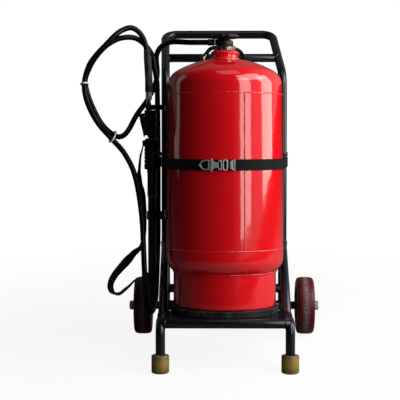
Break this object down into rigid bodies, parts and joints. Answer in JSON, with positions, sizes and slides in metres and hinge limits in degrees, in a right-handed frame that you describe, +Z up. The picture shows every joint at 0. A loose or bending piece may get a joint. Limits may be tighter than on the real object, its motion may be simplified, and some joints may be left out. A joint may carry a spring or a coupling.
{
  "type": "wheeled fire extinguisher",
  "caption": "Cylinder with hose and lance on a tubular trolley with two rear wheels, rubber feet and a slanted push handle.",
  "frame": {"origin": "On the floor, in the middle of the box round everything except the hose with its ties and sleeve and the sling.", "axes": "+X to the right as seen from the front, where the strap's buckle is; +Y to the back, where the wheels and handle are; +Z up. The cylinder leans back about 7 degrees."},
  "size_m": [0.6304, 0.6786, 0.828],
  "materials": {
    "shell_paint": "gloss",
    "frame_paint": "gloss",
    "nickel": "satin",
    "brass": "satin",
    "zinc": "satin",
    "black_plastic": "gloss",
    "rubber": "satin",
    "tyre_rubber": "satin",
    "hub_paint": "satin",
    "foot_rubber": "matte",
    "webbing": "matte",
    "nylon": "satin"
  },
  "bodies": {
    "trolley": {"tank_shell": "shell_paint", "neck_collar": "shell_paint", "tank_skirt": "shell_paint", "base_boot": "rubber", "dip_tube": "zinc", "ring_nut": "nickel", "valve_body": "black_plastic", "outlet_elbow": "brass", "shoulder_union_left": "brass", "shoulder_union_right": "brass", "shoulder_loop": "rubber", "upright_left": "frame_paint", "upright_right": "frame_paint", "handle_bar": "frame_paint", "handle_crossbar": "frame_paint", "leg_left": "frame_paint", "leg_right": "frame_paint", "brace_left": "frame_paint", "brace_right": "frame_paint", "front_crossbar": "frame_paint", "back_crossbar": "frame_paint", "base_rails": "frame_paint", "saddle_upper": "frame_paint", "saddle_lower": "frame_paint", "axle_sleeve": "frame_paint", "foot_left": "foot_rubber", "foot_right": "foot_rubber", "axle_rod": "zinc", "axle_bushes": "black_plastic", "axle_washers": "zinc", "axle_nuts": "zinc", "tank_strap": "webbing", "strap_stops": "frame_paint", "buckle_loop": "zinc", "buckle_tongue": "zinc", "strap_ring": "zinc", "strap_plate": "zinc", "gun_ferrule": "zinc", "gun_inlet": "brass", "gun_collar": "black_plastic", "gun_block": "black_plastic", "gun_grip": "black_plastic", "trigger_pin": "zinc", "lance_ring": "zinc", "lance": "black_plastic", "bracket_upper": "black_plastic", "bracket_lower": "black_plastic", "hose": "rubber", "hose_sleeve": "rubber", "cable_ties": "nylon", "gun_sling": "webbing"},
    "wheel_left": {"wheel_hub_left": "hub_paint", "tyre_left": "tyre_rubber"},
    "wheel_right": {"wheel_hub_right": "hub_paint", "tyre_right": "tyre_rubber"},
    "handwheel": {"handwheel": "black_plastic", "valve_spindle": "brass"},
    "trigger": {"gun_trigger": "black_plastic"}
  },
  "joints": [
    {"name": "wheel_left_spin", "type": "hinge", "parent": "trolley", "child": "wheel_left", "pos_m": [-0.2175, 0.02951, 0.0765], "axis": [1, 0, 0], "continuous": true},
    {"name": "wheel_right_spin", "type": "hinge", "parent": "trolley", "child": "wheel_right", "pos_m": [0.2175, 0.02951, 0.0765], "axis": [1, 0, 0], "continuous": true},
    {"name": "handwheel_turn", "type": "hinge", "parent": "trolley", "child": "handwheel", "pos_m": [0, -0.06752, 0.79134], "axis": [0, 0.1241, 0.9923], "range_deg": [0, 720]},
    {"name": "trigger_squeeze", "type": "hinge", "parent": "trolley", "child": "trigger", "pos_m": [-0.207, -0.02167, 0.59385], "axis": [0, -0.9923, 0.1241], "range_deg": [0, 6], "stiffness_Nm_per_rad": 2, "springref_deg": -5.73}
  ]
}
